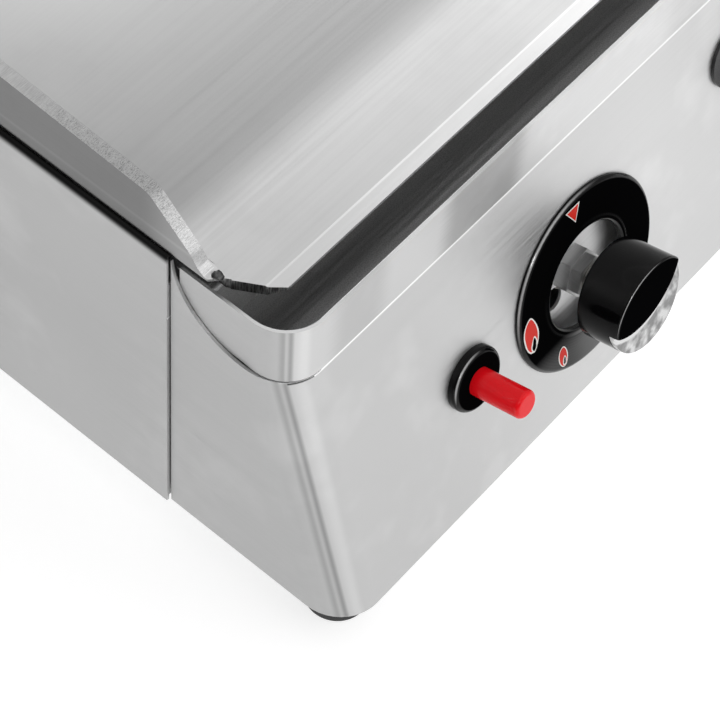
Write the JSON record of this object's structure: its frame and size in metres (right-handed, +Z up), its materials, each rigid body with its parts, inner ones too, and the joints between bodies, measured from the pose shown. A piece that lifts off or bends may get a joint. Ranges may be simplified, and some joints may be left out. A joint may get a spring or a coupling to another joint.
{
  "type": "flat top griddle",
  "caption": "Countertop gas griddle: folded steel plate on a stainless casing with grease trough, drawer, turn-and-push taps and push-button igniters.",
  "frame": {"origin": "on the surface under the feet, at the middle of the whole outline in X and Y", "axes": "+X to the right as seen from the front, +Y towards the back, +Z up; the controls face -Y"},
  "size_m": [0.6, 0.486, 0.225],
  "materials": {
    "stainless_sheet": "brushed stainless steel",
    "plate_steel": "ground steel plate",
    "trough_steel": "satin stainless steel",
    "galvanised_steel": "galvanised sheet",
    "burner_steel": "heat-tinted steel tube",
    "pipe_steel": "grey painted pipe",
    "brass": "machined brass",
    "nickel_plate": "nickel-plated brass",
    "aluminium_tube": "bare aluminium",
    "zinc_fasteners": "zinc plated",
    "bright_steel": "turned steel",
    "black_gloss": "glossy black moulding",
    "black_matte": "satin black moulding",
    "chrome": "polished plating",
    "red_button": "glossy red moulding",
    "white_ceramic": "glazed ceramic",
    "lead_silicone": "silicone lead",
    "copper": "copper capillary",
    "black_enamel": "black enamel",
    "black_rubber": "moulded rubber"
  },
  "bodies": {
    "casing": {"base_panel": "galvanised_steel", "bezel_left": "black_gloss", "bezel_right": "black_gloss", "burner_bracket_front": "galvanised_steel", "burner_bracket_rear": "galvanised_steel", "burner_left": "burner_steel", "burner_right": "burner_steel", "control_nuts": "zinc_fasteners", "crossbar_front": "galvanised_steel", "crossbar_rear": "galvanised_steel", "drawer_runner_left": "galvanised_steel", "drawer_runner_right": "galvanised_steel", "electrode_lead_left": "lead_silicone", "electrode_lead_right": "lead_silicone", "electrode_left": "white_ceramic", "electrode_right": "white_ceramic", "feed_pipe_left": "aluminium_tube", "feed_pipe_right": "aluminium_tube", "flue_box": "stainless_sheet", "foot_front_left": "black_rubber", "foot_front_right": "black_rubber", "foot_rear_left": "black_rubber", "foot_rear_right": "black_rubber", "front_panel": "stainless_sheet", "gas_manifold": "pipe_steel", "grease_trough": "trough_steel", "griddle_plate": "plate_steel", "igniter_body_left": "black_gloss", "igniter_body_right": "black_gloss", "injector_left": "brass", "injector_right": "brass", "inlet_connector": "brass", "plate_rail_left": "galvanised_steel", "plate_rail_right": "galvanised_steel", "rear_panel": "stainless_sheet", "screws": "zinc_fasteners", "side_panel_left": "stainless_sheet", "side_panel_right": "stainless_sheet", "sight_tube_left": "black_enamel", "sight_tube_right": "black_enamel", "tap_plate_left": "galvanised_steel", "tap_plate_right": "galvanised_steel", "thermocouple_left": "copper", "thermocouple_right": "copper", "valve_body_left": "nickel_plate", "valve_body_right": "nickel_plate"},
    "drawer": {"drawer_handle": "black_matte", "grease_drawer": "stainless_sheet"},
    "igniter_button_left": {"igniter_button_left": "red_button", "igniter_spring_left": "zinc_fasteners"},
    "igniter_button_right": {"igniter_button_right": "red_button", "igniter_spring_right": "zinc_fasteners"},
    "knob_left": {"knob_insert_left": "chrome", "knob_left": "black_gloss", "spindle_left": "bright_steel"},
    "knob_right": {"knob_insert_right": "chrome", "knob_right": "black_gloss", "spindle_right": "bright_steel"},
    "tap_left": {"tap_plug_left": "brass"},
    "tap_right": {"tap_plug_right": "brass"}
  },
  "joints": [
    {"name": "tap_turn_left", "type": "hinge", "parent": "casing", "child": "tap_left", "pos_m": [-0.1485, -0.20923, 0.07998], "axis": [0, -0.9613, 0.2756], "range_deg": [0, 150]},
    {"name": "knob_push_left", "type": "slide", "parent": "tap_left", "child": "knob_left", "axis": [0, 0.9613, -0.2756], "range_m": [0, 0.004], "stiffness_N_per_m": 1500, "springref_m": -0.002},
    {"name": "igniter_press_left", "type": "slide", "parent": "casing", "child": "igniter_button_left", "axis": [0, 0.9613, -0.2756], "range_m": [0, 0.006], "stiffness_N_per_m": 900, "springref_m": -0.002},
    {"name": "tap_turn_right", "type": "hinge", "parent": "casing", "child": "tap_right", "pos_m": [0.1485, -0.20923, 0.07998], "axis": [0, -0.9613, 0.2756], "range_deg": [0, 150]},
    {"name": "knob_push_right", "type": "slide", "parent": "tap_right", "child": "knob_right", "axis": [0, 0.9613, -0.2756], "range_m": [0, 0.004], "stiffness_N_per_m": 1500, "springref_m": -0.002},
    {"name": "igniter_press_right", "type": "slide", "parent": "casing", "child": "igniter_button_right", "axis": [0, 0.9613, -0.2756], "range_m": [0, 0.006], "stiffness_N_per_m": 900, "springref_m": -0.002},
    {"name": "drawer_slide", "type": "slide", "parent": "casing", "child": "drawer", "axis": [0, -1, 0], "range_m": [0, 0.13]}
  ]
}
